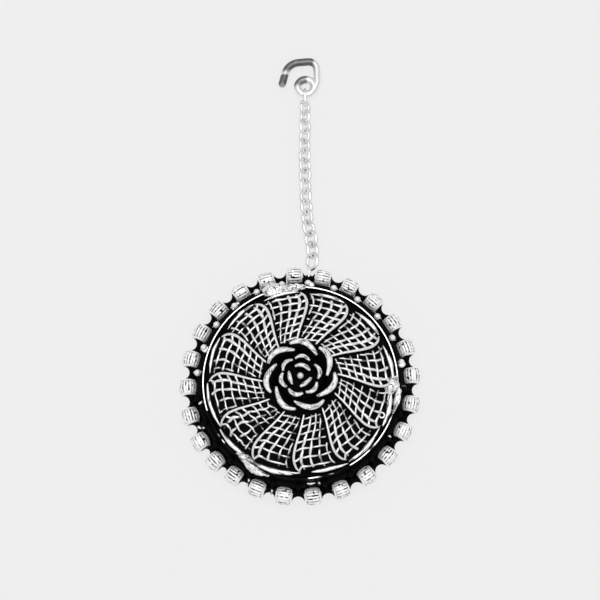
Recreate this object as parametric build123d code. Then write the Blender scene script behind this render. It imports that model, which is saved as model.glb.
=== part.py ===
from build123d import *
import math
import os

# A maang tikka lying face up: a domed, beaded pendant with a chain and a hair hook.
# The frame's origin is the centre of the pendant's flat back, +Z points out of its
# face and +Y runs along the chain towards the hook. Lengths are in millimetres.

# ---- driving dimensions -------------------------------------------------------
BEAD_CIRCLE_R = 18.45      # centres of the border's beads
BEAD_PLANE_Z = 2.2         # height of those centres above the back
BEAD_LENGTH = 2.75
BEAD_BELLY_R = 1.5         # a bead's radius at its middle
BEAD_END_R = 1.12          # and at its two ends
BEAD_FLUTES = 10           # grooves along a bead
FLUTE_R = 0.16

FIRST_BEAD_ANGLE = 93.0    # the bead left of the chain, anticlockwise from +X
LOOSE_STEP = 14.72         # from one bead to the next, going clockwise
CROWDED_STEPS = {14: 14.0, 15: 13.4, 16: 11.9, 17: 12.4, 18: 13.9}
CROWDED_OUT = {17: 0.25, 18: 0.4, 19: 0.3}   # beads that the crowding pushes outwards
BEAD_COUNT = 25

SPOOL_CENTRE_R = 18.0      # the waisted spools that stand out between the beads
SPOOL_WAIST_R = 0.4
SPOOL_FLARE_R = 1.2
PIECE_GAP = 0.03           # between pieces that are not soldered together

WALL_R = 16.9              # the pendant's side wall
WALL_THICKNESS = 0.5
BACK_THICKNESS = 0.6
LEDGE_Z = BEAD_PLANE_Z + 0.95
LEDGE_R = 17.0             # the ledge overhangs the wall
LEDGE_THICKNESS = 0.35
GRANULE_R = 0.55
GRANULE_CIRCLE_R = 16.95

BEZEL_R = 16.2
BEZEL_THICKNESS = 0.42
BEZEL_EDGE = 0.17          # it thins to this at its top edge
BEZEL_TOP_Z = BEAD_PLANE_Z + 3.2

DOME_R = 15.55
DOME_EDGE_Z = BEAD_PLANE_Z + 2.75
DOME_RISE = 3.6
DOME_THICKNESS = 0.5

ROSE_TOP_Z = BEAD_PLANE_Z + 9.0
ROSE_BASE_R = 4.3

# Each tier of the rose: petals; angle where the first one starts; distance from the
# middle where a petal starts and ends; angle it turns through, going clockwise; how
# far its rim bulges out from its chord; rim thickness; foot's size against the rim's.
ROSE_TIERS = (
    dict(count=7, first=108, r_start=5.45, r_end=4.3, turn=58, bulge=1.15, rim=0.75, foot=0.62),
    dict(count=6, first=104, r_start=2.85, r_end=2.75, turn=50, bulge=0.6, rim=0.5, foot=0.8),
    dict(count=3, first=120, r_start=1.75, r_end=1.75, turn=86, bulge=0.2, rim=0.55, foot=0.85),
)
BUD_R = 0.5

# Tabs folded over the bezel: middle angle, span along the rim, reach inwards.
CLAWS = {
    "claw_top": dict(angle=101, span=21, reach=14.4),
    "claw_right": dict(angle=-5, span=19, reach=14.2),
    "claw_lower_left": dict(angle=236, span=33, reach=14.9),
}
CLAW_THICKNESS = 0.45

CHAIN_ANGLE = 85.6         # the gap between beads that the chain leaves through
CHAIN_R = 1.2
LOOP_WIRE_R = 0.25         # the ring soldered to the wall, which takes the first link
LOOP_R = 1.0
LOOP_CENTRE_R = WALL_R + LOOP_R - 0.1
LOOP_Z = 0.83              # high enough for that link to pass under it
CHAIN_ROUTE = (
    (1.9, 19.95), (2.25, 23.3), (1.2, 28.0), (0.92, 32.4), (0.8, 36.8),
    (0.72, 41.2), (0.82, 45.5), (0.82, 49.9),
)

# The hook's eye, then its bend: out to the shank, up, over the top, down to the tip.
HOOK_WIRE_R = 0.65
HOOK_EYE = (0.95, 52.1)
HOOK_EYE_R = 1.4
HOOK_PATH = ((2.35, 51.5), (2.9, 53.0), (2.85, 57.0), (-2.1, 56.55), (-3.1, 52.7))
HOOK_RADII = (1.6, 1.4, 2.6)
HOOK_LEAN = 5.5            # its eye rests on the last link, its bend on the surface


def around(shape, angle):
    """Turn a shape about the pendant's axis."""
    return Rot(0, 0, angle) * shape


def turned(points):
    """Revolve a closed outline of (radius, height) points about the axis."""
    face = make_face(Polyline(*[(r, 0, z) for r, z in points], close=True))
    return revolve(face, Axis.Z, 360)


def bead_angles():
    angles = [FIRST_BEAD_ANGLE]
    for number in range(1, BEAD_COUNT):
        angles.append(angles[-1] - CROWDED_STEPS.get(number, LOOSE_STEP))
    return angles


def gap_angles():
    """The middle of each gap between beads, and half the gap's angle."""
    angles = bead_angles()
    ends = angles[1:] + [angles[0] - 360]
    return [((a + b) / 2, (a - b) / 2) for a, b in zip(angles, ends)]


def bead():
    """A fluted barrel lying along +Y at the origin."""
    half = BEAD_LENGTH / 2
    belly = ThreePointArc((BEAD_END_R, -half), (BEAD_BELLY_R, 0), (BEAD_END_R, half))
    sides = Polyline((BEAD_END_R, half), (0, half), (0, -half), (BEAD_END_R, -half))
    barrel = revolve(make_face(belly + sides), Axis.Y, 360)
    groove_path = ThreePointArc(
        (BEAD_END_R + 0.09, -half), (BEAD_BELLY_R + 0.06, 0), (BEAD_END_R + 0.09, half))
    groove = sweep(Plane(groove_path @ 0, z_dir=groove_path % 0) * Circle(FLUTE_R), groove_path)
    for i in range(BEAD_FLUTES):
        barrel -= Rot(0, 360 * i / BEAD_FLUTES, 0) * groove
    return barrel


def spool(half_angle):
    """The waisted post in a gap, along +Y, its ends cut flush with the beads."""
    lean = math.tan(math.radians(half_angle))
    half = (BEAD_CIRCLE_R * math.sin(math.radians(half_angle)) - BEAD_LENGTH / 2
            - (BEAD_CIRCLE_R - SPOOL_CENTRE_R) * lean - PIECE_GAP)
    reach = SPOOL_FLARE_R + 0.1
    long_half = half + reach * lean
    waist = ThreePointArc((SPOOL_FLARE_R, -long_half), (SPOOL_WAIST_R, 0), (SPOOL_FLARE_R, long_half))
    sides = Polyline(
        (SPOOL_FLARE_R, long_half), (0, long_half), (0, -long_half), (SPOOL_FLARE_R, -long_half))
    full = revolve(make_face(waist + sides), Axis.Y, 360)
    inner_half = half - reach * lean
    wedge = make_face(Polyline(
        (-reach, -inner_half), (reach, -long_half), (reach, long_half), (-reach, inner_half),
        close=True))
    return full & extrude(wedge, amount=reach, both=True)


def tray():
    """Back plate and side wall; the spools and the chain's ring are soldered to the wall."""
    inner = WALL_R - WALL_THICKNESS
    body = turned([
        (0, 0), (WALL_R, 0), (WALL_R, LEDGE_Z - PIECE_GAP), (inner, LEDGE_Z - PIECE_GAP),
        (inner, BACK_THICKNESS), (0, BACK_THICKNESS),
    ])
    stem = Pos(-SPOOL_CENTRE_R + (inner + SPOOL_CENTRE_R) / 2 + 0.1, 0, 0) * Box(
        SPOOL_CENTRE_R - inner - 0.2, SPOOL_WAIST_R, 2 * SPOOL_WAIST_R)
    for angle, half_angle in gap_angles():
        body += around(Pos(SPOOL_CENTRE_R, 0, BEAD_PLANE_Z) * (spool(half_angle) + stem), angle)
    loop = Pos(LOOP_CENTRE_R, 0, LOOP_Z) * Torus(LOOP_R, LOOP_WIRE_R)
    loop -= Cylinder(inner + 0.1, 10)
    return body + around(loop, CHAIN_ANGLE)


def granule_ring():
    inner = BEZEL_R - BEZEL_THICKNESS - 0.9
    top = LEDGE_Z + LEDGE_THICKNESS
    ring = turned([(inner, LEDGE_Z), (LEDGE_R, LEDGE_Z), (LEDGE_R, top), (inner, top)])
    for angle, _ in gap_angles():
        ring += around(Pos(GRANULE_CIRCLE_R, 0, top + 0.15) * Sphere(GRANULE_R), angle)
    return ring


def bezel_ring():
    base = LEDGE_Z + LEDGE_THICKNESS + PIECE_GAP
    inner = BEZEL_R - BEZEL_THICKNESS
    return turned([
        (inner, base), (BEZEL_R + 0.2, base), (inner + BEZEL_EDGE, BEZEL_TOP_Z), (inner, BEZEL_TOP_Z),
    ])


def dome_z(r):
    """Height of the dome's upper face at a distance from the middle."""
    sphere_r = (DOME_R ** 2 + DOME_RISE ** 2) / (2 * DOME_RISE)
    return DOME_EDGE_Z + DOME_RISE - sphere_r + math.sqrt(sphere_r ** 2 - r ** 2)


def filigree_dome():
    foot = LEDGE_Z + LEDGE_THICKNESS + PIECE_GAP
    t = DOME_THICKNESS
    inner = DOME_R - t
    half = DOME_R / 2
    top = ThreePointArc((DOME_R, 0, DOME_EDGE_Z), (half, 0, dome_z(half)), (0, 0, dome_z(0)))
    under = ThreePointArc((0, 0, dome_z(0) - t), (half, 0, dome_z(half) - t), (inner, 0, DOME_EDGE_Z - t))
    closing = Polyline((0, 0, dome_z(0)), (0, 0, dome_z(0) - t))
    rim = Polyline((inner, 0, DOME_EDGE_Z - t), (inner, 0, foot), (DOME_R, 0, foot), (DOME_R, 0, DOME_EDGE_Z))
    return revolve(make_face(top + closing + under + rim), Axis.Z, 360)


def polar(r, angle):
    return Vector(r * math.cos(math.radians(angle)), r * math.sin(math.radians(angle)))


def rose_petal(tier):
    """One curved petal, leaning outwards from its foot to its rim."""
    start = polar(tier["r_start"], tier["first"])
    end = polar(tier["r_end"], tier["first"] - tier["turn"])
    chord_middle = (start + end) * 0.5
    middle = chord_middle + chord_middle.normalized() * tier["bulge"]
    rim = SlotArc(ThreePointArc(start, middle, end), height=tier["rim"])
    top = Pos(0, 0, ROSE_TOP_Z) * rim
    foot = Pos(0, 0, dome_z(0) + PIECE_GAP) * scale(rim, by=tier["foot"])
    return loft([foot.face(), top.face()])


def rose():
    foot_z = dome_z(0) + PIECE_GAP
    bud_height = ROSE_TOP_Z - foot_z - 0.6
    upright = (Align.CENTER, Align.CENTER, Align.MIN)
    flower = Pos(0, 0, foot_z) * Cylinder(ROSE_BASE_R, 0.9, align=upright)
    flower += Pos(0, 0, foot_z) * Cylinder(BUD_R, bud_height, align=upright)
    flower += Pos(0, 0, foot_z + bud_height) * Sphere(BUD_R)
    for tier in ROSE_TIERS:
        petal = rose_petal(tier)
        for i in range(tier["count"]):
            flower += around(petal, -360 * i / tier["count"])
    return flower


def claw(angle, span, reach):
    """A tab that grips the bezel: down its outside, over its edge and inwards."""
    t = CLAW_THICKNESS
    over = BEZEL_TOP_Z + PIECE_GAP
    low = LEDGE_Z + LEDGE_THICKNESS + 0.75
    outside = BEZEL_R + 0.2 + PIECE_GAP
    outline = Polyline(
        (reach, 0, over + 0.35), (reach, 0, over + 0.35 + t), (BEZEL_R - 0.2, 0, over + t),
        (outside + t, 0, over - 0.1), (outside + t, 0, low), (outside, 0, low), (outside, 0, over),
        (BEZEL_R - BEZEL_THICKNESS, 0, over), close=True)
    strip = revolve(make_face(outline), Axis.Z, span)
    return around(strip, angle - span / 2)


def chain():
    """The chain's outer form: a tube of straight runs joined by tangent arcs."""
    points = [Vector(x, y) for x, y in CHAIN_ROUTE]
    runs = [b - a for a, b in zip(points, points[1:])]
    radii = []
    for before, after in zip(runs, runs[1:]):
        turn = math.radians(before.get_angle(after))
        shorter = min(before.length, after.length)
        radii.append(0.45 * shorter / math.tan(turn / 2))
    path = Pos(0, 0, CHAIN_R) * FilletPolyline(*CHAIN_ROUTE, radius=radii)
    tube = sweep(Plane(path @ 0, z_dir=path % 0) * Circle(CHAIN_R), path)
    print("chain radii", [round(r, 1) for r in radii], "length", round(path.length, 2))
    print("chain volume over section times length",
          round(tube.volume / (math.pi * CHAIN_R ** 2 * path.length), 4))
    return tube


def hook():
    """One wire: an eye for the chain, then the bend that holds in the hair."""
    eye = Pos(HOOK_EYE[0], HOOK_EYE[1], HOOK_WIRE_R) * Torus(HOOK_EYE_R, HOOK_WIRE_R)
    path = Pos(0, 0, HOOK_WIRE_R) * FilletPolyline(*HOOK_PATH, radius=list(HOOK_RADII))
    bend = sweep(Plane(path @ 0, z_dir=path % 0) * Circle(HOOK_WIRE_R), path)
    tip = Plane(path @ 1, z_dir=path % 1) * Sphere(HOOK_WIRE_R)
    flat = eye + bend + tip
    far_y = flat.bounding_box().max.Y
    leaning = Pos(0, far_y, 0) * Rot(-HOOK_LEAN, 0, 0) * Pos(0, -far_y, 0) * flat
    return Pos(0, 0, -leaning.bounding_box().min.Z) * leaning


def main():
    nodes = {
        "tray": tray(),
        "granule_ring": granule_ring(),
        "bezel_ring": bezel_ring(),
        "filigree_dome": filigree_dome(),
        "rose": rose(),
        "chain": chain(),
        "hook": hook(),
    }
    for name, sizes in CLAWS.items():
        nodes[name] = claw(**sizes)
    one_bead = bead()
    for number, angle in enumerate(bead_angles(), start=1):
        r = BEAD_CIRCLE_R + CROWDED_OUT.get(number, 0)
        nodes[f"bead_{number:02d}"] = around(Pos(r, 0, BEAD_PLANE_Z) * one_bead, angle)

    os.makedirs("parts", exist_ok=True)
    for name, shape in nodes.items():
        export_step(shape, f"parts/{name}.step")


main()
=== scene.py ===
import bpy
import bmesh
import math
import random
from mathutils import Matrix, Vector, noise


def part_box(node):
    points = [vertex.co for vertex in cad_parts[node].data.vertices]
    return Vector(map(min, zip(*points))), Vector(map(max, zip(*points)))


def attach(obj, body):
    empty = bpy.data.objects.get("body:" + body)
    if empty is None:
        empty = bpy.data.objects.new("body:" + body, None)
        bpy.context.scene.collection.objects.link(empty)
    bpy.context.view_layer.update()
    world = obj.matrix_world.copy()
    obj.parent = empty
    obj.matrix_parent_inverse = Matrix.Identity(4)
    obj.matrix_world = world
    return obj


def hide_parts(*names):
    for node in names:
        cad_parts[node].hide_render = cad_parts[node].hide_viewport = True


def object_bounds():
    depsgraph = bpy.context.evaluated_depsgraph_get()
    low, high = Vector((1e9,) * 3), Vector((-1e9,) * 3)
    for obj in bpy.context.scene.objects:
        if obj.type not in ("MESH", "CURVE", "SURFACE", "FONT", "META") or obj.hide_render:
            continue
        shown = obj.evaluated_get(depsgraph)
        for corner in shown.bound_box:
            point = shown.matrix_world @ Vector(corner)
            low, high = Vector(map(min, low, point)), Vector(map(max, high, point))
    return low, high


# A maang tikka lying face up. Its pieces are modelled in millimetres, in the frame's
# axes, and brought to metres as each one is finished. Angles are in degrees and run
# anticlockwise from +X, unless a comment says clockwise. A table of pairs gives a
# value at each of several places, and between() reads it.

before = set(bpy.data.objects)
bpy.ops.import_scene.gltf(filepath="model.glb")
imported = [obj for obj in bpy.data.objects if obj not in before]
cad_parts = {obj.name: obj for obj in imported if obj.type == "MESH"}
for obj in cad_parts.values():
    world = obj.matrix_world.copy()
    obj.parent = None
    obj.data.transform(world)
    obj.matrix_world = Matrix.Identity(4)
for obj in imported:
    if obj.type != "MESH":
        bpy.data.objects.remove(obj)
cad_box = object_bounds()
MM = 0.001
UP = Vector((0, 0, 1))


# ---- small tools of the bench -------------------------------------------------
def node_box(node):
    """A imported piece's lowest and highest corners, in millimetres."""
    low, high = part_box(node)
    return Vector(low) / MM, Vector(high) / MM


def polar(r, angle, z=0.0):
    """A place at a distance from the jewel's middle, in a direction from it."""
    return Vector((r * math.cos(math.radians(angle)), r * math.sin(math.radians(angle)), z))


def blend(a, b, t):
    return a + (b - a) * t


def smooth_step(low, high, x):
    """0 at low and 1 at high, eased at both ends; low may be the larger number."""
    t = min(1.0, max(0.0, (x - low) / (high - low)))
    return t * t * (3 - 2 * t)


def between(stops, x):
    """A value read off a table of (place, value), straight from one to the next."""
    for (x0, v0), (x1, v1) in zip(stops, stops[1:]):
        if x <= x1:
            return blend(v0, v1, max(0.0, (x - x0) / (x1 - x0)))
    return stops[-1][1]


def steps(low, high, count):
    """Values at equal steps, both ends included."""
    return [blend(low, high, i / (count - 1)) for i in range(count)]


def finish_piece(name, bm, metal, replaces=()):
    """Turns a mesh modelled in millimetres into a piece of the jewel."""
    bmesh.ops.recalc_face_normals(bm, faces=bm.faces)
    bmesh.ops.scale(bm, vec=(MM, MM, MM), verts=bm.verts)
    mesh = bpy.data.meshes.new(name)
    bm.to_mesh(mesh)
    bm.free()
    mesh.polygons.foreach_set("use_smooth", [True] * len(mesh.polygons))
    mesh.materials.append(metal)
    piece = bpy.data.objects.new(name, mesh)
    bpy.context.collection.objects.link(piece)
    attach(piece, "root")
    if replaces:
        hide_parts(*replaces)


def rubbed_mesh():
    """An empty mesh whose corners carry how far polishing reached them."""
    bm = bmesh.new()
    bm.verts.layers.float.new("rub")
    return bm


def rub_all(bm, verts, amount):
    """Rubs these corners bright, all of them alike."""
    rub = bm.verts.layers.float["rub"]
    for v in verts:
        v[rub] = amount


# Polishing reaches a wire's upper side only. These are shares of the wire's height from
# its middle: none below the first, all above the second.
WIRE_RUBBED_ABOVE = (-0.2, 0.1)


def place_section(bm, at, along, up, width, height, sides, rub):
    """One oval cross-section of a wire, square to the wire's direction."""
    across = along.cross(up).normalized()
    over = across.cross(along).normalized()
    turn = Matrix((across * width, over * height, along.normalized())).transposed().to_4x4()
    turn.translation = at
    ring = bmesh.ops.create_circle(bm, segments=sides, radius=0.5)["verts"]
    layer = bm.verts.layers.float.get("rub")
    if layer:
        for v in ring:
            v[layer] = rub * smooth_step(*WIRE_RUBBED_ABOVE, v.co.y)
    bmesh.ops.transform(bm, matrix=turn, verts=ring)
    return ring


def ring_edges(ring):
    members = set(ring)
    return list({e for v in ring for e in v.link_edges if e.other_vert(v) in members})


def draw_wire(bm, path, widths, heights, ups=None, sides=8, closed=False, rubs=None):
    """A wire drawn through a list of places, with its own width and height at each."""
    count = len(path)
    before = None
    first = None
    for i, at in enumerate(path):
        ahead = path[(i + 1) % count] if closed or i + 1 < count else at
        behind = path[i - 1] if closed or i > 0 else at
        up = ups[i] if ups else UP
        rub = rubs[i] if rubs else 1.0
        ring = place_section(bm, at, ahead - behind, up, widths[i], heights[i], sides, rub)
        edges = ring_edges(ring)
        if before:
            bmesh.ops.bridge_loops(bm, edges=before + edges)
        elif not closed:
            bmesh.ops.contextual_create(bm, geom=edges)
        first = first or edges
        before = edges
    if closed:
        bmesh.ops.bridge_loops(bm, edges=before + first)
    else:
        bmesh.ops.contextual_create(bm, geom=before)


STREAKS_ALONG = 0.9           # how closely the streaks vary along the circle, to a mm
STREAKS_ACROSS = 4.5          # and across it
STREAK_TONES = (0.05, 0.4)    # the noise at which a streak begins and is darkest
STREAK_SEEDS_APART = 7


def brush(bm, seed, amount, across=STREAKS_ACROSS):
    """Leaves darker streaks that run round the jewel's middle on what is rubbed bright."""
    rub = bm.verts.layers.float["rub"]
    for v in bm.verts:
        r = math.hypot(v.co.x, v.co.y)
        along = math.atan2(v.co.y, v.co.x) * r
        at = Vector((along * STREAKS_ALONG, r * across + seed * STREAK_SEEDS_APART, v.co.z))
        v[rub] -= amount * smooth_step(*STREAK_TONES, noise.noise(at)) * v[rub]


# ---- metals -------------------------------------------------------------------
OXIDE_GLOSS = 0.025           # how much the black oxide shines


def new_metal(name):
    material = bpy.data.materials.new(name)
    material.use_nodes = True
    nodes = material.node_tree.nodes
    return material, nodes, material.node_tree.links, nodes["Principled BSDF"]


def tooth(nodes, links, scale, detail=4.0):
    """Fine noise over the piece itself."""
    place = nodes.new("ShaderNodeTexCoord")
    grain = nodes.new("ShaderNodeTexNoise")
    grain.inputs["Scale"].default_value = scale
    grain.inputs["Detail"].default_value = detail
    links.new(place.outputs["Object"], grain.inputs["Vector"])
    return grain.outputs["Fac"]


def ramp(nodes, links, value, stops):
    """Greys along a value: a list of (place, grey)."""
    scale = nodes.new("ShaderNodeValToRGB")
    tones = scale.color_ramp.elements
    while len(tones) < len(stops):
        tones.new(0.5)
    for tone, (place, grey) in zip(tones, stops):
        tone.position = place
        tone.color = (grey, grey, grey, 1)
    links.new(value, scale.inputs["Fac"])
    return scale.outputs["Color"]


def raise_grain(nodes, links, value, shader, strength, height):
    """Bumps as high as a value, with the full height in metres."""
    bump = nodes.new("ShaderNodeBump")
    bump.inputs["Strength"].default_value = strength
    bump.inputs["Distance"].default_value = height
    links.new(value, bump.inputs["Height"])
    links.new(bump.outputs["Normal"], shader.inputs["Normal"])


def black_oxide():
    """Metal blackened all over."""
    metal, nodes, links, shader = new_metal("black_oxide")
    cloud = tooth(nodes, links, scale=700)
    tone = ramp(nodes, links, cloud, [(0.3, 0.0012), (0.7, 0.004)])
    links.new(tone, shader.inputs["Base Color"])
    shader.inputs["Metallic"].default_value = 0.0
    shader.inputs["Roughness"].default_value = 0.55
    shader.inputs["Specular IOR Level"].default_value = OXIDE_GLOSS
    raise_grain(nodes, links, cloud, shader, strength=0.25, height=0.00005)
    return metal


def link_silver():
    """Polished wire, for the chain."""
    metal, nodes, links, shader = new_metal("link_silver")
    cloud = tooth(nodes, links, scale=900)
    tone = ramp(nodes, links, cloud, [(0.3, 0.78), (0.6, 0.95)])
    links.new(tone, shader.inputs["Base Color"])
    shader.inputs["Metallic"].default_value = 1.0
    shader.inputs["Roughness"].default_value = 0.3
    raise_grain(nodes, links, cloud, shader, strength=0.12, height=0.00004)
    return metal


def rubbed_silver(name, tones, grain, roughness, shine, raggedness=0.6):
    """Bright where the attribute 'rub' says that polishing reached, black elsewhere."""
    metal, nodes, links, shader = new_metal(name)
    cloud = tooth(nodes, links, scale=grain)
    rub = nodes.new("ShaderNodeAttribute")
    rub.attribute_name = "rub"
    ragged = nodes.new("ShaderNodeMath")
    ragged.operation = "MULTIPLY_ADD"
    ragged.inputs[1].default_value = raggedness
    links.new(cloud, ragged.inputs[0])
    links.new(rub.outputs["Fac"], ragged.inputs[2])
    level = nodes.new("ShaderNodeMapRange")
    level.inputs["From Max"].default_value = 1 + raggedness
    links.new(ragged.outputs[0], level.inputs["Value"])
    links.new(ramp(nodes, links, level.outputs["Result"], tones), shader.inputs["Base Color"])
    bare = ramp(nodes, links, level.outputs["Result"], [(0.25, 0.0), (0.4, shine)])
    links.new(bare, shader.inputs["Metallic"])
    shader.inputs["Roughness"].default_value = roughness
    shader.inputs["Specular IOR Level"].default_value = OXIDE_GLOSS
    raise_grain(nodes, links, cloud, shader, strength=0.25, height=0.00004)
    return metal


BLACK = black_oxide()
LINK_SILVER = link_silver()
WIRE_SILVER = rubbed_silver(
    "wire_silver", tones=[(0.3, 0.003), (0.55, 0.5), (0.7, 0.96)],
    grain=1200, roughness=0.36, shine=0.8)
BEAD_SILVER = rubbed_silver(
    "bead_silver", tones=[(0.3, 0.003), (0.52, 0.33), (0.72, 1.0)],
    grain=1700, roughness=0.42, shine=0.4)
TAB_SILVER = rubbed_silver(
    "tab_silver", tones=[(0.3, 0.01), (0.55, 0.4), (0.74, 0.86)],
    grain=1100, roughness=0.4, shine=0.7)
CAST_SILVER = rubbed_silver(
    "cast_silver", tones=[(0.3, 0.003), (0.55, 0.3), (0.8, 0.86)],
    grain=1900, roughness=0.5, shine=0.6, raggedness=0.9)


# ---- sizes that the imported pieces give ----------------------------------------
BEADS = [f"bead_{number:02d}" for number in range(1, 26)]
GRANULE_HEIGHT = 0.7          # the soldered grains' height over the ledge
LEDGE_TOP = node_box("granule_ring")[1].z - GRANULE_HEIGHT
BEZEL_TOP = node_box("bezel_ring")[1].z
ROSE_FOOT_Z, ROSE_TOP_Z = (corner.z for corner in node_box("rose"))
DOME_R = node_box("filigree_dome")[1].x
DOME_TOP_Z = node_box("filigree_dome")[1].z
DOME_RISE = 3.6


def dome_z(r):
    """The dome's height at a distance from the middle."""
    ball_r = (DOME_R ** 2 + DOME_RISE ** 2) / (2 * DOME_RISE)
    return DOME_TOP_Z - ball_r + math.sqrt(ball_r ** 2 - r ** 2)


# ---- the filigree pinwheel ----------------------------------------------------
PETALS = 12
PETAL_TURN = 360 / PETALS
FIRST_PETAL = 85.0            # the angle that its rib bulges to
RIB_IN_R = 6.0
RIB_OUT_R = 14.85
# The rib's angle past its bulge at distances from the middle.
RIB_SWEEP = (
    (6.0, 10.5), (7.0, 8.1), (8.0, 6.0), (9.0, 4.0), (10.0, 2.3), (11.0, 1.0), (12.0, 0.3),
    (12.8, 0.2), (13.5, 0.8), (14.1, 2.0), (14.5, 3.2), (14.85, 5.2),
)
RIB_GIRTH = ((6.0, 0.3), (7.5, 0.38), (12.5, 0.5), (14.2, 0.45), (14.85, 0.25))
RIB_SECTIONS = 36
LIFT = 0.75                   # a petal's rib over the dome
LIFT_SHARES = (-0.1, 1.05)    # across the petal, where that lift begins to fall and is gone
SWELL = 0.25                  # how far the petal swells between its sides
END_DROP = 0.75               # the share of its height that it loses at its outer end
END_DROP_R = (13.2, 15.0)
PETAL_CLEARANCE = 0.06        # a petal's lower side over the dome
GAP = 0.5                     # the black gap beside a rib

# The lengthwise wires' distances from the rib where the petal is narrow and wide. The
# first is the rib itself.
LINES_AT_NARROW = (0.0, 1.2, 2.3, 3.4, 4.4)
LINES_AT_WIDE = (0.0, 1.16, 2.67, 4.3, 5.65)
NARROW_R = 8.8
WIDE_R = 12.7
LINES = len(LINES_AT_WIDE)
LINE_IN_R = 6.25
LINE_OUT_R = 14.4
LINE_WIDTHS = ((6.2, 0.32), (8.5, 0.38), (12.0, 0.5), (14.4, 0.46))
LINE_SHARES = (1.0, 1.08, 0.98, 0.84, 0.72)
LINE_HEIGHT = 0.34
LINE_DRIFT = 0.07             # how far it wanders from side to side
LINE_WOBBLE = 0.08            # and lies off its place
LINE_SECTIONS = 40
LINE_SHORT_OF_GAP = 0.1

CROSS_RADII = (6.65, 7.75, 8.9, 10.1, 11.4, 12.7, 14.0)
# How far a cross wire climbs outwards as it meets the rib.
CROSS_CLIMB = ((6.6, 0.12), (9.0, 0.3), (12.0, 0.55), (14.0, 0.6))
CLIMB_REACH = 1.3             # how far from the rib the climb begins
CROSS_SAG = 0.12              # how far it bows inwards between its ends
CROSS_AT_RIB = 0.43           # its width there
CROSS_AT_FAR_END = 0.31
INNERMOST_CROSS = 0.85        # the innermost one's width as a share of the outermost's
CROSS_HEIGHT = 0.3
CROSS_DRIFT = 0.06
CROSS_WOBBLE = 0.08
CROSS_TILT = 0.12             # how far one end may lie further out than the other
CROSS_SECTIONS = 26
CROSS_ENDS = (0.08, 0.05)     # its ends short of the rib and of the far side
CROSS_THIN_FROM = 18          # past this section it wears through more easily
CROSS_SEEDS_FROM = 40

RIB_ABOVE = 0.12              # the middles of the three kinds of wire over the petal
LINE_ABOVE = 0.06
CROSS_ABOVE = 0.04
WEAVE = 0.1                   # how far the wires pass over and under each other
WIDER_OVER = 0.16             # how much wider a wire is where it passes over
RUB_MEAN = 0.88               # the wires' rub, halfway between over and under
LINE_RUB_SWING = 0.12         # how much more and less it is there
CROSS_RUB_SWING = 0.14
LOWER_THINNER = 0.12          # the share by which the lower petals' wires are thinner


def rib_turn(r):
    return between(RIB_SWEEP, r)


def petal_width(r):
    """From a petal's rib to the black gap at its neighbour's, along the circle."""
    return math.radians(PETAL_TURN) * r - GAP


def petal_point(bulge, r, across, above=0.0):
    """A place on a petal: across is in millimetres from its rib, anticlockwise."""
    share = across / petal_width(r)
    swell = SWELL * math.sin(math.pi * min(1, max(0, share)))
    crown = LIFT * (1 - smooth_step(*LIFT_SHARES, share)) + swell
    end = 1 - END_DROP * smooth_step(*END_DROP_R, r)
    angle = bulge + rib_turn(r) + math.degrees(across / r)
    return polar(r, angle, dome_z(r) + PETAL_CLEARANCE + crown * end + above)


def line_across(line, r):
    t = (r - NARROW_R) / (WIDE_R - NARROW_R)
    return blend(LINES_AT_NARROW[line], LINES_AT_WIDE[line], t)


def line_count(across, r):
    """How many lengthwise wires are passed on the way from the rib."""
    return between([(line_across(line, r), line) for line in range(LINES)], across)


def cross_count(r):
    """How many cross wires are passed on the way from the middle."""
    return between([(ring_r, ring) for ring, ring_r in enumerate(CROSS_RADII)], r)


def wander(x, seed, amount):
    """A small smooth drift from side to side."""
    return amount * noise.noise(Vector((x * 1.1, seed * 5.3, 0.5))) * 2


DARKER_TOWARDS_BOTTOM = 0.12       # how much more often the wires darken towards the bottom


def worn(rub, place, thin):
    """Less rub in random patches where the polishing missed, more often where the wires are thin;
    the patches also come more often towards the bottom, which is darker.
    """
    missed = noise.noise(place * 1.3) + DARKER_TOWARDS_BOTTOM * smooth_step(6, -6, place.y)
    return rub - (0.6 if thin else 0.2) * smooth_step(0.05 if thin else 0.2, 0.5, missed)


def draw_rib(bm, bulge, slender):
    """The thicker wire along the side that stands highest."""
    radii = steps(RIB_IN_R, RIB_OUT_R, RIB_SECTIONS)
    path = [petal_point(bulge, r, 0.0, RIB_ABOVE) for r in radii]
    thick = [between(RIB_GIRTH, r) * slender for r in radii]
    draw_wire(bm, path, thick, [0.9 * t for t in thick], sides=10)


def draw_line(bm, bulge, line, seed, rough, slender, chance):
    """A lengthwise wire, over one cross wire and under the next."""
    wobble = chance.uniform(-LINE_WOBBLE, LINE_WOBBLE)
    out_r = LINE_OUT_R + chance.uniform(-0.35, 0.15)
    path, over, wide = [], [], []
    for r in steps(LINE_IN_R, out_r, LINE_SECTIONS):
        across = line_across(line, r) + wobble + wander(r, line + seed, LINE_DRIFT * rough)
        if 0 < across < petal_width(r) - LINE_SHORT_OF_GAP:
            up = math.cos(math.pi * (cross_count(r) + line))
            path.append(petal_point(bulge, r, across, LINE_ABOVE + WEAVE * up))
            over.append(up)
            girth = LINE_SHARES[line] * between(LINE_WIDTHS, r)
            wide.append(girth * (1 + WIDER_OVER * up) * slender)
    thin = rough > 1 or line > 2
    rubs = [worn(RUB_MEAN + LINE_RUB_SWING * up, p, thin) for up, p in zip(over, path)]
    draw_wire(bm, path, wide, [LINE_HEIGHT] * len(path), rubs=rubs)


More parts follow.
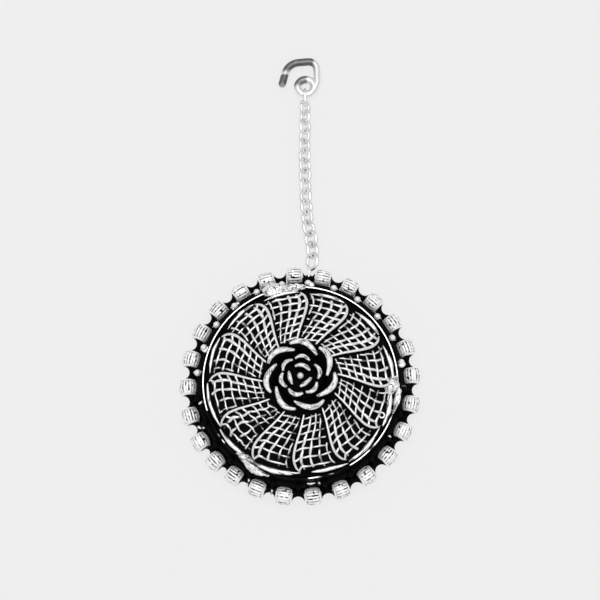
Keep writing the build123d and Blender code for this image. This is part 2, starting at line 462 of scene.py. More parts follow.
def draw_cross(bm, bulge, ring, seed, rough, slender, chance):
    """A cross wire, from the rib to the petal's far side."""
    ring_r = CROSS_RADII[ring] + chance.uniform(-CROSS_WOBBLE, CROSS_WOBBLE)
    width = petal_width(ring_r)
    tilt = chance.uniform(-CROSS_TILT, CROSS_TILT)
    climb = between(CROSS_CLIMB, ring_r)
    ring_share = blend(INNERMOST_CROSS, 1, ring / (len(CROSS_RADII) - 1))
    path, over, wide = [], [], []
    for across in steps(CROSS_ENDS[0], width - CROSS_ENDS[1], CROSS_SECTIONS):
        share = across / width
        up = -math.cos(math.pi * (line_count(across, ring_r) + ring))
        r = ring_r + climb * smooth_step(CLIMB_REACH, 0.0, across) + tilt * share
        drift = wander(across, ring + seed + CROSS_SEEDS_FROM, CROSS_DRIFT * rough)
        r += drift - CROSS_SAG * math.sin(math.pi * share)
        path.append(petal_point(bulge, r, across, CROSS_ABOVE + WEAVE * up))
        over.append(up)
        girth = blend(CROSS_AT_RIB, CROSS_AT_FAR_END, share) * ring_share
        wide.append(girth * (1 + WIDER_OVER * up) * slender)
    rubs = [
        worn(RUB_MEAN + CROSS_RUB_SWING * up, p, thin=i > CROSS_THIN_FROM)
        for i, (up, p) in enumerate(zip(over, path))
    ]
    draw_wire(bm, path, wide, [CROSS_HEIGHT] * len(path), rubs=rubs)


def petal_net(bulge, seed, rough):
    """The wires of one petal: the rib, the lengthwise and the cross wires, woven."""
    chance = random.Random(seed)
    bm = rubbed_mesh()
    slender = 1 - LOWER_THINNER * smooth_step(0.7, -0.3, math.sin(math.radians(bulge + 15)))
    draw_rib(bm, bulge, slender)
    for line in range(1, LINES):
        draw_line(bm, bulge, line, seed, rough, slender, chance)
    for ring in range(len(CROSS_RADII)):
        draw_cross(bm, bulge, ring, seed, rough, slender, chance)
    return bm


LEAF_BELOW = 0.1              # the leaf under the middle of the net
LEAF_TUCK = 0.9               # how far its side dips under the rib


def petal_leaf(bulge):
    """The black leaf under the net."""
    bm = bmesh.new()
    made = bmesh.ops.create_grid(bm, x_segments=24, y_segments=14, size=0.5)
    for v in made["verts"]:
        r = blend(RIB_IN_R - 0.4, 15.0, v.co.x + 0.5)
        share = v.co.y + 0.5
        across = blend(-0.12, petal_width(r) + 0.25, share)
        under = LEAF_TUCK * smooth_step(0.08, 0.0, share)
        v.co = petal_point(bulge, r, across, -LEAF_BELOW - under)
    return bm


# How far past its bulge, in degrees, each petal's outer roll runs, and the distances
# from the middle along a roll.
RIM_ENDS = (29, 29, 27, 29, 30, 35, 35, 35, 34, 35, 30, 29)
RIM_LIE = ((0, 15.1), (0.4, 15.1), (1, 14.8))
RIM_GIRTH = ((0, 0.3), (0.14, 0.72), (0.45, 1.0), (0.75, 0.72), (1, 0.2))
RIM_WIDTHS = (0.62, 0.74)     # a roll's width at its thickest
LOWER_RIMS_WIDER = 0.08       # how much wider at the bottom, and narrower at the top
RIM_SHIFT = 0.16              # how far the rolls lie out at the bottom, and in at the top
RIM_ABOVE = 0.3               # a roll's middle over the dome
RIM_DRIFT = 0.12              # how unevenly thick it is, as a share
RIM_STREAKS = 0.65
RIM_SEEDS_FROM = 50
FLARED_RIM = 6                # the one that starts late and runs outwards
FLARED_START = 12
FLARED_SHARE = 0.85           # its width as a share of the others'
FLARED_LIE = ((0, 14.75), (0.5, 14.85), (1, 15.3))
BROAD_RIM = 7                 # the flattened one beside the lower left tab
BROAD_SHARE = 1.3


def rim_crescent(bulge, far, seed, start=6.0, share=1.0, lie=RIM_LIE):
    """The thick bright roll along a petal's outer edge."""
    chance = random.Random(seed)
    bm = rubbed_mesh()
    usual = chance.uniform(*RIM_WIDTHS) - LOWER_RIMS_WIDER * math.sin(math.radians(bulge))
    full = usual * share
    path, thick = [], []
    for t in steps(0, 1, 30):
        angle = bulge + blend(start, far, t)
        r = between(lie, t) - RIM_SHIFT * math.sin(math.radians(angle))
        path.append(polar(r, angle, dome_z(r) + RIM_ABOVE))
        thick.append(between(RIM_GIRTH, t) * full * (1 + wander(t * 6, seed, RIM_DRIFT)))
    draw_wire(bm, path, thick, [0.4 * w + 0.2 for w in thick], sides=18)
    brush(bm, seed, RIM_STREAKS)
    return bm


ROUGH_PETAL = 8               # the one whose casting came out broken up
ROUGHNESS_THERE = 3.0         # how much further its wires wander than the others'


def make_petals():
    for k in range(PETALS):
        bulge = FIRST_PETAL - PETAL_TURN * k
        number = f"{k + 1:02d}"
        finish_piece(f"petal_{number}_leaf", petal_leaf(bulge), BLACK)
        net = petal_net(bulge, k, ROUGHNESS_THERE if k == ROUGH_PETAL else 1.0)
        finish_piece(f"petal_{number}_net", net, WIRE_SILVER)
        far, seed = RIM_ENDS[k], RIM_SEEDS_FROM + k
        if k == FLARED_RIM:
            rim = rim_crescent(bulge, far, seed, FLARED_START, FLARED_SHARE, FLARED_LIE)
        else:
            rim = rim_crescent(bulge, far, seed, share=BROAD_SHARE if k == BROAD_RIM else 1.0)
        finish_piece(f"petal_{number}_rim", rim, WIRE_SILVER)


# ---- the rose -----------------------------------------------------------------
# The petals' rims, going clockwise: the angle where each starts, the angle it turns
# through, its two ends' distances from the middle, its bulge from its chord, its
# thickness, and its foot's distance from the middle as a share of its rim's.
OUTER_RIMS = [(108 - 51.43 * i, 57, 5.45, 4.25, 1.18, 0.94, 0.62) for i in range(7)]
MIDDLE_RIMS = [
    (start, 49, 2.85, 2.82, 0.62, 0.68, 0.8) for start in (107, 38, -23, -82, -139, 165)
]
INNER_RIMS = [
    (120, 92, 1.72, 1.72, 0.5, 0.74, 0.85),
    (228, 68, 1.92, 1.92, 0.12, 0.7, 0.85),
    (-11, 80, 1.78, 1.78, 0.16, 0.66, 0.85),
]
ROSE_RIMS = OUTER_RIMS + MIDDLE_RIMS + INNER_RIMS
OUTER_BLUNTNESS = 0.2         # a rim's thickness at its ends, as a share
INNER_BLUNTNESS = 0.32
RIM_HEIGHT = 0.34
RIM_BELOW_TOP = 0.2           # a rim's middle under the rose's top
RIM_DROOP = 0.16              # and how much lower its ends are
WALL_THICKNESS = 0.34
BUD_R = 0.54
BUD_BELOW = 0.55              # the bud's middle under the rose's top
WALL_SHORT_OF_RIM = 0.6       # the black walls' height less than the rose's
STEM_SHORT_OF_TOP = 0.7
CUP_DEPTH = 0.9


def petal_arc(rim, count):
    """Places along a rose petal's rim, clockwise, bulging out from its chord."""
    start_angle, turn, r_start, r_end, bulge = rim[:5]
    start = polar(r_start, start_angle)
    end = polar(r_end, start_angle - turn)
    out = ((start + end) / 2).normalized()
    return [
        blend(start, end, t) + out * bulge * (1 - (2 * t - 1) ** 2)
        for t in steps(0, 1, count)
    ]


def rose_rims(chance):
    """The worn bright tops of the rose's petals, and its bud."""
    bm = rubbed_mesh()
    count = 30
    for rim in ROSE_RIMS:
        thickness = rim[5] * chance.uniform(0.94, 1.08)
        lean = chance.uniform(0.42, 0.62)
        blunt = OUTER_BLUNTNESS if rim in OUTER_RIMS else INNER_BLUNTNESS
        widths, path = [], []
        for t, p in zip(steps(0, 1, count), petal_arc(rim, count)):
            fat = math.sin(math.pi * blend(0.03, 0.97, t ** (lean + 0.5))) ** 0.6
            widths.append(thickness * blend(blunt, 1.0, fat))
            path.append(p + UP * (ROSE_TOP_Z - RIM_BELOW_TOP - RIM_DROOP * abs(2 * t - 1) ** 2))
        draw_wire(bm, path, widths, [RIM_HEIGHT] * count, sides=20)
    brush(bm, seed=3, amount=0.55, across=6.5)
    bud = bmesh.ops.create_uvsphere(bm, u_segments=20, v_segments=12, radius=BUD_R)["verts"]
    rub_all(bm, bud, 1.0)
    bmesh.ops.translate(bm, vec=(0, 0, ROSE_TOP_Z - BUD_BELOW), verts=bud)
    return bm


def rose_walls():
    """The petals' blackened walls below their rims, and the cup that holds them."""
    bm = bmesh.new()
    count = 14
    tall = ROSE_TOP_Z - ROSE_FOOT_Z
    for rim in ROSE_RIMS:
        foot = rim[6]
        arc = petal_arc(rim, count)
        path = [p * blend(foot, 1, 0.5) + UP * (ROSE_FOOT_Z + tall * 0.5) for p in arc]
        ups = [(p * (1 - foot) + UP * tall).normalized() for p in arc]
        wall = [tall - WALL_SHORT_OF_RIM] * count
        draw_wire(bm, path, [WALL_THICKNESS] * count, wall, ups, sides=10)
    cup = bmesh.ops.create_cone(
        bm, cap_ends=True, segments=48, radius1=4.3, radius2=3.6, depth=CUP_DEPTH)
    bmesh.ops.translate(bm, vec=(0, 0, ROSE_FOOT_Z + CUP_DEPTH / 2), verts=cup["verts"])
    stem_tall = tall - STEM_SHORT_OF_TOP
    stem = bmesh.ops.create_cone(
        bm, cap_ends=True, segments=20, radius1=0.5, radius2=0.36, depth=stem_tall)
    bmesh.ops.translate(bm, vec=(0, 0, ROSE_FOOT_Z + stem_tall / 2), verts=stem["verts"])
    return bm


def make_rose():
    finish_piece("rose_rims", rose_rims(random.Random(7)), CAST_SILVER)
    finish_piece("rose_walls", rose_walls(), BLACK, ["rose"])


# ---- border beads -------------------------------------------------------------
BEAD_HALF = 1.31              # half a bead's length
BEAD_BELLY_R = 1.485
BEAD_END_R = 1.12
BEAD_CORE_R = 0.3             # the blackened middle of each end
BEAD_CHAMFER = 0.06
BELLY_POWER = 2.3             # how squarely the belly turns down to the ends
LIP = 0.3                     # the plain band at each end
FLUTED_HALF = BEAD_HALF - LIP
FLUTES = 17
FLUTE_DEPTH = 0.11
FLUTE_POWER = 2.4             # how narrow the dark line in a flute is
CORNERS_TO_A_FLUTE = 9
PITS = 2                      # dark dents on each bead
# The bead's cross-sections, from its end to near its middle.
BEAD_STATIONS = (
    BEAD_HALF, BEAD_HALF - BEAD_CHAMFER, 1.15, FLUTED_HALF + 0.06, FLUTED_HALF,
    FLUTED_HALF - 0.07, 0.84, 0.74, 0.64, 0.54, 0.44, 0.34, 0.22, 0.1,
)


def bead_radius(y):
    t = abs(y) / BEAD_HALF
    return BEAD_BELLY_R - (BEAD_BELLY_R - BEAD_END_R) * t ** BELLY_POWER


def ribbed_bead(centre, chance):
    """A fluted barrel bent to the border's circle, so that its ends point at the middle."""
    bm = rubbed_mesh()
    rub = bm.verts.layers.float["rub"]
    border_r = math.hypot(centre.x, centre.y)
    bearing = math.degrees(math.atan2(centre.y, centre.x))
    around = FLUTES * CORNERS_TO_A_FLUTE
    half = [(BEAD_HALF, True)] + [(y, False) for y in BEAD_STATIONS]
    stations = [(-y, core) for y, core in half] + [(0.0, False)] + half[::-1]
    phase = chance.uniform(0, 2 * math.pi)
    deep = [chance.uniform(0.15, 1.0) ** 0.7 for _ in range(FLUTES)]
    seed = chance.uniform(0, 90)
    pits = [
        (chance.uniform(1.7, 2.3), chance.uniform(-0.6, 0.6), chance.uniform(0.1, 0.2))
        for _ in range(PITS)
    ]
    before = None
    for y, core in stations:
        ring = bmesh.ops.create_circle(bm, segments=around, radius=1.0)["verts"]
        chamfer = BEAD_CHAMFER if abs(y) == BEAD_HALF else 0
        r = BEAD_CORE_R if core else bead_radius(y) - chamfer
        fluted = smooth_step(FLUTED_HALF + 0.04, FLUTED_HALF - 0.1, abs(y))
        for i, v in enumerate(ring):
            turn = 2 * math.pi * i / around
            groove = (0.5 - 0.5 * math.cos(FLUTES * turn + phase)) ** FLUTE_POWER
            flute = int((FLUTES * turn + phase) / (2 * math.pi)) % FLUTES
            inward = 0.5 - 0.5 * math.cos(turn)
            patchy = noise.noise(Vector((flute * 3.7 + seed, y * 2.6, 0))) * 1.3
            dark = groove * deep[flute] * fluted * (0.85 + 0.15 * inward + patchy)
            for pit_turn, pit_y, size in pits:
                away = math.hypot((turn - pit_turn) * r, y - pit_y)
                dark += 1.1 * fluted * smooth_step(size * 1.5, size * 0.5, away)
            dark += 0.45 * smooth_step(0.09, 0.0, abs(abs(y) - FLUTED_HALF))
            dip = min(1.0, groove * deep[flute] + 0.3 * max(0.0, dark - 1))
            depth = FLUTE_DEPTH * fluted * dip
            x, z = (r - depth) * math.cos(turn), (r - depth) * math.sin(turn)
            v.co = polar(border_r + x, bearing + math.degrees(y / border_r), centre.z + z)
            v[rub] = 0.1 if core else 1 - 0.95 * min(1.0, max(0.0, dark))
        edges = ring_edges(ring)
        if before:
            bmesh.ops.bridge_loops(bm, edges=before + edges)
        else:
            bmesh.ops.contextual_create(bm, geom=edges)
        before = edges
    bmesh.ops.contextual_create(bm, geom=before)
    return bm


# The corners of the flange's cross-section: distance from the middle, height.
SEAT_CORNERS = ((16.8, 0.4), (17.7, 0.4), (17.7, 0.66), (16.8, 0.66))


def bead_seat():
    """The thin black flange under the beads' inner halves; it fills with black the gap between the
    bezel and the beads, which the imported pieces leave open to the floor.
    """
    bm = bmesh.new()
    rings = []
    for r, z in SEAT_CORNERS:
        ring = bmesh.ops.create_circle(bm, segments=128, radius=r)["verts"]
        bmesh.ops.translate(bm, vec=(0, 0, z), verts=ring)
        rings.append(ring_edges(ring))
    for a, b in zip(rings, rings[1:] + rings[:1]):
        bmesh.ops.bridge_loops(bm, edges=a + b)
    return bm


BEAD_SEEDS_FROM = 100


def make_beads():
    finish_piece("bead_seat", bead_seat(), BLACK)
    for number, node in enumerate(BEADS):
        low, high = node_box(node)
        bead = ribbed_bead((low + high) / 2, random.Random(BEAD_SEEDS_FROM + number))
        finish_piece(f"ribbed_{node}", bead, BEAD_SILVER, [node])


# ---- folded claws -------------------------------------------------------------
# Each tab's folds: the angles that each spans, clockwise end first, how far in and out
# it reaches along them, and how high it stands over the bezel. A smaller tuck gives
# blunter ends.
CLAWS = {
    "claw_top": (
        dict(
            span=(99, 112.5), seed=3, tuck=0.25,
            inner=((0, 15.1), (0.3, 14.95), (0.7, 15.0), (1, 15.25)),
            outer=((0, 16.6), (0.3, 17.0), (0.6, 17.2), (1, 17.1)),
            height=((0, 0.3), (0.5, 0.5), (1, 0.3))),
        dict(
            span=(86.5, 101), seed=6, tuck=0.5,
            inner=((0, 15.5), (0.5, 15.2), (1, 14.85)),
            outer=((0, 16.5), (0.5, 16.5), (1, 16.75)),
            height=((0, 0.15), (0.6, 0.3), (1, 0.4)))),
    "claw_right": (
        dict(
            span=(-8.5, 3.4), seed=8, tuck=0.3,
            inner=((0, 14.1), (0.3, 13.45), (0.6, 13.4), (1, 14.5)),
            outer=((0, 15.3), (0.3, 15.8), (0.6, 16.2), (1, 16.1)),
            height=((0, 0.3), (0.5, 0.6), (1, 0.3))),
        dict(
            span=(-19.5, -2), seed=11, tuck=0.9,
            inner=((0, 15.75), (0.6, 15.65), (1, 15.4)),
            outer=((0, 16.1), (0.4, 16.45), (0.8, 16.75), (1, 16.4)),
            height=((0, 0.1), (0.6, 0.3), (1, 0.35))),
        dict(
            span=(-21.5, -6.5), seed=17, tuck=0.8,
            inner=((0, 14.9), (0.4, 14.5), (1, 14.1)),
            outer=((0, 15.2), (0.4, 15.3), (1, 15.1)),
            height=((0, 0.1), (0.6, 0.25), (1, 0.3)))),
    "claw_lower_left": (
        dict(
            span=(228.5, 241.5), seed=5, tuck=0.6,
            inner=((0, 15.5), (0.2, 14.9), (0.5, 14.7), (0.8, 14.9), (1, 15.1)),
            outer=((0, 16.0), (0.4, 16.0), (0.7, 15.7), (1, 15.7)),
            height=((0, 0.3), (0.4, 0.4), (1, 0.3))),
        dict(
            span=(233, 252), seed=14, tuck=0.8,
            inner=((0, 15.7), (0.3, 15.5), (0.7, 15.8), (1, 16.1)),
            outer=((0, 16.2), (0.3, 16.7), (0.7, 16.8), (1, 16.5)),
            height=((0, 0.15), (0.4, 0.35), (1, 0.1)))),
}
UPRIGHT_SHARE = 0.25          # the share of a fold that stands outside the bezel
UPRIGHT_HEIGHT = 1.2
TAB_THICKNESS = 0.2
TAB_CLEARANCE = 0.06          # a fold's foot over the bezel's edge
LUMP_OUT = 0.2                # how far the sheet's lumps push it outwards
LUMP_UP = 0.25                # and upwards
CREASE_OUT = 0.06             # and its finer creases
CREASE_UP = 0.1


def crumpled_fold(bm, span, seed, tuck, inner, outer, height):
    """One fold of a tab: up outside the bezel, over its edge and inwards."""
    rub = bm.verts.layers.float["rub"]
    made = bmesh.ops.create_grid(bm, x_segments=60, y_segments=30, size=0.5)
    for v in made["verts"]:
        along = v.co.x + 0.5
        over = v.co.y + 0.5
        full = math.sin(math.pi * blend(0.02, 0.98, along)) ** tuck
        middle_r = (between(inner, along) + between(outer, along)) / 2
        inner_r = blend(middle_r, between(inner, along), full)
        outer_r = blend(middle_r, between(outer, along), full)
        crest = between(height, along) * full
        angle = blend(*span, along)
        if over < UPRIGHT_SHARE:
            r = outer_r
            z = blend(BEZEL_TOP - UPRIGHT_HEIGHT * full, BEZEL_TOP, over / UPRIGHT_SHARE)
        else:
            t = (over - UPRIGHT_SHARE) / (1 - UPRIGHT_SHARE)
            r = blend(outer_r, inner_r, t)
            z = BEZEL_TOP + TAB_CLEARANCE + crest * math.sin(math.pi * blend(0.1, 0.85, t))
        lump = noise.noise(Vector((angle * 0.35, over * 2.4 + seed, seed)))
        crease = noise.noise(Vector((angle * 0.8, over * 6, seed + 4)))
        dent = noise.noise(Vector((angle * 0.7, over * 4.5, seed + 9)))
        r = r + LUMP_OUT * lump + CREASE_OUT * crease
        z = z + LUMP_UP * lump + CREASE_UP * crease
        v.co = polar(r, angle, z)
        v[rub] = 1.0 - 0.6 * smooth_step(0.1, 0.5, dent) - 0.7 * smooth_step(0.16, 0.0, over)


def thicken(bm, thickness):
    """Gives folded sheet its thickness, downwards and towards the middle at once."""
    made = bmesh.ops.extrude_face_region(bm, geom=bm.faces[:], use_keep_orig=True)
    for v in made["geom"]:
        if isinstance(v, bmesh.types.BMVert):
            inwards = Vector((-v.co.x, -v.co.y, 0)).normalized()
            v.co += (inwards - UP) * thickness


def make_claws():
    for node, folds in CLAWS.items():
        bm = rubbed_mesh()
        for fold in folds:
            crumpled_fold(bm, **fold)
        brush(bm, seed=len(node), amount=0.5, across=6.0)
        thicken(bm, TAB_THICKNESS)
        finish_piece(f"crumpled_{node}", bm, TAB_SILVER, [node])


# ---- solder left on the ledge and over the net, and painted highlights --------
# Drops beside the soldered grains: angle, distance from the middle, length, width,
# heading from the angle, height over the ledge. The six with a height under the ledge
# sit on the spools' necks between the beads: bright lumps that stand for highlights
# there, painted highlights.
DROPS_AND_HIGHLIGHTS = (
    (127.5, 16.95, 0.62, 0.5, 30, 0.1), (131.4, 16.75, 0.66, 0.5, -20, 0.1),
    (160.2, 16.65, 1.25, 1.0, -10, 0.2), (159.0, 16.3, 0.8, 0.6, 40, 0.3),
    (173.6, 16.9, 1.5, 0.62, 10, 0.15), (84.0, 16.75, 1.3, 0.95, 60, 0.25),
    (-31.5, 16.95, 0.72, 0.62, 0, 0.42), (10.6, 16.95, 1.3, 1.0, 10, 0.3),
    (203.4, 17.95, 0.85, 0.5, -60, -0.8), (204.6, 17.35, 0.5, 0.45, 0, -0.45),
    (191.0, 16.6, 0.9, 0.5, 30, 0.1), (280.6, 16.6, 0.55, 0.4, 30, 0.1),
    (242.1, 17.85, 0.65, 0.42, 30, -0.8), (242.4, 18.55, 0.55, 0.4, 0, -0.85),
    (255.3, 18.1, 0.6, 0.42, 20, -0.8), (255.2, 18.65, 0.45, 0.35, 0, -0.85),
)
DROP_HEIGHT = 0.5
DROP_RUB = 0.95
# An uneven bright smear on the bezel's foot that stands for a highlight there, a painted
# highlight: angle, share of the way up the wall, thickness.
HIGHLIGHT_SMEAR = (
    (-86.2, 0.24, 0.2), (-85.3, 0.1, 0.34), (-83.9, 0.02, 0.46), (-82.9, 0.06, 0.3),
    (-81.6, 0.16, 0.2),
)
SMEAR_FOOT_R = 16.55
SMEAR_TOP_R = 16.3
NET_RING_AT = (14.35, -23.2)  # distance from the middle, angle
NET_RING_R = 0.42
NET_RING_WIRE = 0.3


# Solder drops, and bright lumps and a smear that stand for painted highlights.
def solder_and_highlight_drops():
    bm = rubbed_mesh()
    for angle, r, length, width, heading, above in DROPS_AND_HIGHLIGHTS:
        drop = bmesh.ops.create_uvsphere(bm, u_segments=16, v_segments=10, radius=0.5)["verts"]
        rub_all(bm, drop, DROP_RUB)
        bmesh.ops.scale(bm, vec=(length, width, DROP_HEIGHT), verts=drop)
        turn = Matrix.Rotation(math.radians(angle + heading), 4, "Z")
        place = Matrix.Translation(polar(r, angle, LEDGE_TOP + above)) @ turn
        bmesh.ops.transform(bm, matrix=place, verts=drop)
    path = [
        polar(
            blend(SMEAR_FOOT_R, SMEAR_TOP_R, up), angle,
            blend(LEDGE_TOP + 0.05, BEZEL_TOP - 0.1, up))
        for angle, up, _ in HIGHLIGHT_SMEAR
    ]
    wide = [thickness for _, _, thickness in HIGHLIGHT_SMEAR]
    draw_wire(bm, path, wide, wide)
    return bm


def net_ring():
    """A tiny ring caught in the net near the right-hand tab."""
    bm = rubbed_mesh()
    r, angle = NET_RING_AT
    middle = polar(r, angle, dome_z(r) + 0.6)
    path = [middle + polar(NET_RING_R, a) for a in range(0, 360, 20)]
    wire = [NET_RING_WIRE] * len(path)
    draw_wire(bm, path, wire, wire, closed=True)
    return bm


def make_solder_and_highlights():
    finish_piece("solder_and_highlight_drops", solder_and_highlight_drops(), WIRE_SILVER)
    finish_piece("net_ring", net_ring(), WIRE_SILVER)


# ---- the chain ----------------------------------------------------------------
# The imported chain's own route, from the pendant to the hook.
CHAIN_ROUTE = (
    (1.9, 19.95), (2.25, 23.3), (1.2, 28.0), (0.92, 32.4), (0.8, 36.8),
    (0.72, 41.2), (0.82, 45.5), (0.82, 49.9),
)
CHAIN_Z = 1.22
LINK_LENGTH = 3.35            # at the pendant; the links are a little smaller at the hook
LINK_WIDTH = 3.0
LINK_WIRE = 0.7
SMALLEST_LINK = 0.87          # the last link's size as a share of the first's
FIRST_LINK_AT = 1.3           # the first full link's middle along the line
LINKS = 16
LINK_STEP = 1.97              # from one link to the next at the pendant
LINK_BUNCHING = 0.0105        # and how it shortens towards the hook
LINK_ROLL = 45.0              # each link leans this way, and the next one the other way
LINK_LOOSENESS = 5            # how far a link's roll may differ from that
LINK_CORNERS = 32
UPRIGHT = 90                  # the roll of a link that stands on its side
# A small upright link joins the chain to the pendant's ring, and another one to the
# hook's eye: where each is and how it heads, and its length, width and wire.
PENDANT_LINK_AT = polar(19.2, 85.6, 0.98)
PENDANT_LINK_HEADING = polar(1, 84)
PENDANT_LINK = (2.6, 1.8, 0.48)
HOOK_LINK_AT = 30.35          # along the chain's line
HOOK_LINK = (3.3, 2.4, 0.6)


def chain_line():
    """The chain's smooth middle line, from a spline through its route."""
    curve = bpy.data.curves.new("chain_line", "CURVE")
    curve.dimensions = "3D"
    spline = curve.splines.new("NURBS")
    spline.points.add(len(CHAIN_ROUTE) - 1)
    for point, (x, y) in zip(spline.points, CHAIN_ROUTE):
        point.co = (x, y, CHAIN_Z, 1)
    spline.order_u = 3
    spline.use_endpoint_u = True
    spline.resolution_u = 16
    holder = bpy.data.objects.new("chain_line", curve)
    mesh = bpy.data.meshes.new_from_object(holder)
    line = [v.co.copy() for v in mesh.vertices]
    bpy.data.objects.remove(holder)
    bpy.data.curves.remove(curve)
    bpy.data.meshes.remove(mesh)
    return line


def place_on(line, distance):
    """Where a distance along the line falls, and the line's direction there."""
    for a, b in zip(line, line[1:]):
        run = (b - a).length
        if distance <= run:
            return a + (b - a) * (distance / run), (b - a).normalized()
        distance -= run
    along = (line[-1] - line[-2]).normalized()
    return line[-1] + along * distance, along


def link_loop(length, width, wire):
    """A link's middle line: an oval with straight sides, lying along +Y."""
    half = (width - wire) / 2
    straight = (length - wire) / 2 - half
    path = []
    for i in range(LINK_CORNERS):
        a = 2 * math.pi * i / LINK_CORNERS
        end = math.copysign(straight, math.sin(a))
        path.append(Vector((half * math.cos(a), half * math.sin(a) + end, 0)))
    return path


def add_link(bm, middle, along, roll, length, width, wire):
    """One link of wire, lying along a direction and rolled about it."""
    one = bmesh.new()
    girth = [wire] * LINK_CORNERS
    draw_wire(one, link_loop(length, width, wire), girth, girth, sides=10, closed=True)
    heading = Matrix.Rotation(math.atan2(along.y, along.x) - math.pi / 2, 4, "Z")
    turn = Matrix.Translation(middle) @ heading @ Matrix.Rotation(math.radians(roll), 4, "Y")
    bmesh.ops.transform(one, matrix=turn, verts=one.verts)
    held = bpy.data.meshes.new("one_link")
    one.to_mesh(held)
    one.free()
    bm.from_mesh(held)
    bpy.data.meshes.remove(held)


def make_chain():
    line = chain_line()
    chance = random.Random(12)
    bm = bmesh.new()
    add_link(bm, PENDANT_LINK_AT, PENDANT_LINK_HEADING, UPRIGHT, *PENDANT_LINK)
    for i in range(LINKS):
        middle, along = place_on(line, FIRST_LINK_AT + LINK_STEP * i - LINK_BUNCHING * i * i)
        lean = LINK_ROLL if i % 2 else -LINK_ROLL
        roll = lean + chance.uniform(-LINK_LOOSENESS, LINK_LOOSENESS)
        size = blend(1.0, SMALLEST_LINK, i / (LINKS - 1))
        add_link(bm, middle, along, roll, LINK_LENGTH * size, LINK_WIDTH * size, LINK_WIRE * size)
    middle, along = place_on(line, HOOK_LINK_AT)
    add_link(bm, middle, along, UPRIGHT, *HOOK_LINK)
    finish_piece("chain_links", bm, LINK_SILVER, ["chain"])


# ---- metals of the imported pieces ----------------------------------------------
# Where each change of tone on the bezel begins and ends, in millimetres.
EDGE_Z = (BEZEL_TOP - 0.05, BEZEL_TOP - 0.005)
EDGE_KEPT_RIGHT_X = (3, 6.5)
EDGE_KEPT_ABOVE_Y = (-6.5, -3)
# The same on the ledge with its grains, which are painted lit on the upper half and painted in
# shade on the lower half.
GRANULE_Z = (LEDGE_TOP + 0.02, LEDGE_TOP + 0.08)
GRANULES_PAINTED_LIT_Y = (-1.5, 2)
# And on the hook: its bend, its eye's upper left side and its tip, where dark reflections are
# painted into its colour.
BEND_Y = (54.4, 55.6)
BEND_X = (2.7, 1.9)
EYE_FROM_Y = (51.9, 52.8)
EYE_TO_Y = (54.6, 54.2)
EYE_X = (1.5, 0.8)
TIP_Y = (53.7, 52.7)
TIP_X = (-1.6, -2.0)
TIP_PAINTED_DARK = 0.6             # the tip's painted dark reflection, as a share of the bend's


def band(nodes, links, value, limits, results=(0.0, 1.0)):
    """A value brought from one range to another and held at its ends."""
    node = nodes.new("ShaderNodeMapRange")
    node.interpolation_type = "SMOOTHSTEP"
    node.inputs["From Min"].default_value = limits[0]
    node.inputs["From Max"].default_value = limits[1]
    node.inputs["To Min"].default_value = results[0]
    node.inputs["To Max"].default_value = results[1]
    links.new(value, node.inputs["Value"])
    return node.outputs["Result"]


def place_band(nodes, links, axis, limits, results=(0.0, 1.0)):
    """A band along one axis of the piece, with its limits in millimetres."""
    place = nodes.new("ShaderNodeTexCoord")
    split = nodes.new("ShaderNodeSeparateXYZ")
    links.new(place.outputs["Object"], split.inputs["Vector"])
    in_metres = [limit * MM for limit in limits]
    return band(nodes, links, split.outputs[axis], in_metres, results)


def combine(nodes, links, a, b, how="MULTIPLY"):
    node = nodes.new("ShaderNodeMath")
    node.operation = how
    links.new(a, node.inputs[0])
    links.new(b, node.inputs[1])
    return node.outputs[0]


def black_or_bright(nodes, links, shader, bright, roughness, shine=1.0):
    """Metal where the value is high, black oxide where it is low."""
    links.new(ramp(nodes, links, bright, [(0.2, 0.003), (0.8, 0.93)]), shader.inputs["Base Color"])
    links.new(ramp(nodes, links, bright, [(0.2, 0.0), (0.5, shine)]), shader.inputs["Metallic"])
    shader.inputs["Roughness"].default_value = roughness
    shader.inputs["Specular IOR Level"].default_value = OXIDE_GLOSS


def bezel_edge_silver():
    """Black sides and a bright line along the top edge, broken up more towards the lower left."""
    metal, nodes, links, shader = new_metal("bezel_edge_silver")
    edge = place_band(nodes, links, "Z", EDGE_Z)
    edge_breaks = tooth(nodes, links, scale=230, detail=2)
    right = place_band(nodes, links, "X", EDGE_KEPT_RIGHT_X, (0.1, 0.36))
    above = place_band(nodes, links, "Y", EDGE_KEPT_ABOVE_Y, (0.15, 0.7))
    lasting = combine(nodes, links, right, above, "MAXIMUM")
    kept = band(nodes, links, combine(nodes, links, edge_breaks, lasting, "ADD"), (0.72, 0.84))
    black_or_bright(nodes, links, shader, combine(nodes, links, edge, kept), roughness=0.3)
    return metal


def granule_silver():
    """A black ledge under grains rubbed bright, with painted light on the grains of the upper half
    and painted shade on those of the lower half.
    """
    metal, nodes, links, shader = new_metal("granule_silver")
    grains = place_band(nodes, links, "Z", GRANULE_Z)
    # Painted light and shade: the grains grow darker towards the bottom.
    upper = place_band(nodes, links, "Y", GRANULES_PAINTED_LIT_Y, (0.08, 1.0))
    bright = combine(nodes, links, grains, upper)
    black_or_bright(nodes, links, shader, bright, roughness=0.45, shine=0.45)
    return metal


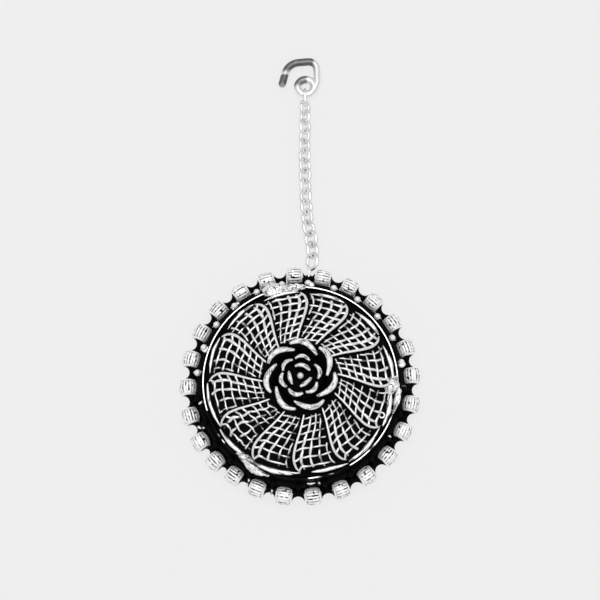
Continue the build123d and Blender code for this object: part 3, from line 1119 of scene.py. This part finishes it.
def painted_reflection_silver():
    """Polished wire with dark reflections painted over the bend, the tip and the eye's upper left.
    """
    metal, nodes, links, shader = new_metal("painted_reflection_silver")
    bend = combine(
        nodes, links,
        place_band(nodes, links, "Y", BEND_Y), place_band(nodes, links, "X", BEND_X))
    eye_length = combine(
        nodes, links,
        place_band(nodes, links, "Y", EYE_FROM_Y), place_band(nodes, links, "Y", EYE_TO_Y))
    eye = combine(nodes, links, eye_length, place_band(nodes, links, "X", EYE_X))
    tip = combine(
        nodes, links,
        place_band(nodes, links, "Y", TIP_Y),
        place_band(nodes, links, "X", TIP_X, (0, TIP_PAINTED_DARK)))
    cloud = tooth(nodes, links, scale=420, detail=2)
    patchy = band(nodes, links, cloud, (0.25, 0.6), (0.8, 1.0))
    bend_or_eye = combine(nodes, links, bend, eye, "MAXIMUM")
    dark = combine(nodes, links, bend_or_eye, tip, "MAXIMUM")
    dull = combine(nodes, links, dark, patchy)
    links.new(ramp(nodes, links, dull, [(0.05, 0.93), (0.9, 0.17)]), shader.inputs["Base Color"])
    shader.inputs["Metallic"].default_value = 1.0
    shader.inputs["Roughness"].default_value = 0.34
    return metal


def wear_metal(node, metal):
    """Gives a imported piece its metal."""
    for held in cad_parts[node].material_slots:
        held.material = metal


def dress_packed_pieces():
    wear_metal("tray", BLACK)
    wear_metal("filigree_dome", BLACK)
    wear_metal("bezel_ring", bezel_edge_silver())
    wear_metal("granule_ring", granule_silver())
    wear_metal("hook", painted_reflection_silver())


# ---- floor, light and camera --------------------------------------------------
PAPER = 0.863                 # the pale grey of the paper it lies on
PAPER_REACH = 3.0
PAPER_GLOW = 0.88             # its own light's share of what is seen; the rest keeps shadows


def make_floor():
    bm = bmesh.new()
    bmesh.ops.create_grid(bm, x_segments=1, y_segments=1, size=PAPER_REACH)
    mesh = bpy.data.meshes.new("floor")
    bm.to_mesh(mesh)
    bm.free()
    paper, nodes, links, shader = new_metal("pale_paper")
    shader.inputs["Base Color"].default_value = (PAPER, PAPER, PAPER, 1)
    shader.inputs["Roughness"].default_value = 1.0
    shader.inputs["Specular IOR Level"].default_value = 0.0
    glow = nodes.new("ShaderNodeEmission")
    glow.inputs["Color"].default_value = (PAPER, PAPER, PAPER, 1)
    rays = nodes.new("ShaderNodeLightPath")
    mirrored = combine(
        nodes, links, rays.outputs["Is Glossy Ray"], rays.outputs["Is Transmission Ray"], "MAXIMUM")
    looked_at = combine(nodes, links, rays.outputs["Is Camera Ray"], mirrored, "MAXIMUM")
    share = nodes.new("ShaderNodeMath")
    share.operation = "MULTIPLY"
    share.inputs[1].default_value = PAPER_GLOW
    links.new(looked_at, share.inputs[0])
    both = nodes.new("ShaderNodeMixShader")
    links.new(share.outputs[0], both.inputs["Fac"])
    links.new(shader.outputs[0], both.inputs[1])
    links.new(glow.outputs[0], both.inputs[2])
    links.new(both.outputs[0], nodes["Material Output"].inputs["Surface"])
    mesh.materials.append(paper)
    floor = bpy.data.objects.new("floor", mesh)
    bpy.context.collection.objects.link(floor)
    floor.location.z = cad_box[0][2]


SKY = 0.62
LAMP_SIZE = 0.6
LAMP_WATTS = 1.8
LAMP_AT = (0.0, 0.05, 0.6)


def make_light():
    world = bpy.data.worlds.new("studio")
    bpy.context.scene.world = world
    world.use_nodes = True
    sky = world.node_tree.nodes["Background"]
    sky.inputs["Color"].default_value = (1, 1, 1, 1)
    sky.inputs["Strength"].default_value = SKY
    lamp = bpy.data.lights.new("overhead", "AREA")
    lamp.shape = "SQUARE"
    lamp.size = LAMP_SIZE
    lamp.energy = LAMP_WATTS
    box = bpy.data.objects.new("overhead", lamp)
    bpy.context.collection.objects.link(box)
    box.location = LAMP_AT


TILT = 13.0                   # the camera's lean from straight down
LENS = 108.4
CAMERA_DISTANCE = 0.3
AIM = Vector((-0.00005, 0.0142, 0.003))


def make_camera():
    lens = bpy.data.cameras.new("camera")
    lens.lens = LENS
    lens.clip_end = 10
    camera = bpy.data.objects.new("camera", lens)
    bpy.context.collection.objects.link(camera)
    lean = math.radians(TILT)
    look = Vector((0, math.sin(lean), -math.cos(lean)))
    camera.location = AIM - look * CAMERA_DISTANCE
    camera.rotation_euler = (lean, 0, 0)
    bpy.context.scene.camera = camera
    bpy.context.scene.view_settings.view_transform = "Standard"


make_petals()
make_rose()
make_beads()
make_claws()
make_solder_and_highlights()
make_chain()
dress_packed_pieces()
make_floor()
make_light()
make_camera()
